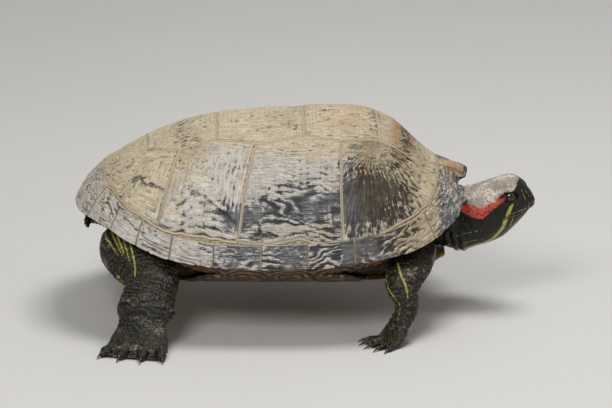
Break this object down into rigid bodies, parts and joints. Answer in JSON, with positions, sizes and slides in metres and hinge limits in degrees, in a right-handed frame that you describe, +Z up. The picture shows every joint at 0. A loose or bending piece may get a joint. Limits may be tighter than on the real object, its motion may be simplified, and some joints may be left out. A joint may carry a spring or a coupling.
{
  "type": "red-eared slider turtle",
  "caption": "Life-size still model of an adult red-eared slider turtle, standing with its neck out and head raised, with separate horny shell plates.",
  "frame": {"origin": "on the floor, under the middle of the whole animal's box", "axes": "+X towards the head, +Y to the animal's left, +Z up"},
  "size_m": [0.2834, 0.2539, 0.1243],
  "materials": {
    "carapace": "old weathered horn with dried silt, growth ridges and pale seams",
    "plastron": "yellow-orange horn with dark ringed blotches",
    "skin": "dark scaly skin, slightly moist, with yellow-green stripes and a red patch behind the eye",
    "horn": "dark smooth horn of the beak and claws",
    "eye": "wet and glossy"
  },
  "bodies": {
    "root": {"abdominal": "plastron", "anal": "plastron", "eye_left": "eye", "eye_right": "eye", "femoral": "plastron", "forefoot_left": "skin", "forefoot_right": "skin", "foreleg_left": "skin", "foreleg_right": "skin", "gular": "plastron", "head": "skin", "hindfoot_left": "skin", "hindfoot_right": "skin", "hindleg_left": "skin", "hindleg_right": "skin", "humeral": "plastron", "lower_jaw": "horn", "marginal_left_1": "carapace", "marginal_left_10": "carapace", "marginal_left_11": "carapace", "marginal_left_12": "carapace", "marginal_left_2": "carapace", "marginal_left_3": "carapace", "marginal_left_4": "carapace", "marginal_left_5": "carapace", "marginal_left_6": "carapace", "marginal_left_7": "carapace", "marginal_left_8": "carapace", "marginal_left_9": "carapace", "marginal_right_1": "carapace", "marginal_right_10": "carapace", "marginal_right_11": "carapace", "marginal_right_12": "carapace", "marginal_right_2": "carapace", "marginal_right_3": "carapace", "marginal_right_4": "carapace", "marginal_right_5": "carapace", "marginal_right_6": "carapace", "marginal_right_7": "carapace", "marginal_right_8": "carapace", "marginal_right_9": "carapace", "neck": "skin", "nuchal": "carapace", "pectoral": "plastron", "pleural_left_1": "carapace", "pleural_left_2": "carapace", "pleural_left_3": "carapace", "pleural_left_4": "carapace", "pleural_right_1": "carapace", "pleural_right_2": "carapace", "pleural_right_3": "carapace", "pleural_right_4": "carapace", "tail": "skin", "trunk": "skin", "vertebral_1": "carapace", "vertebral_2": "carapace", "vertebral_3": "carapace", "vertebral_4": "carapace", "vertebral_5": "carapace"}
  },
  "joints": []
}
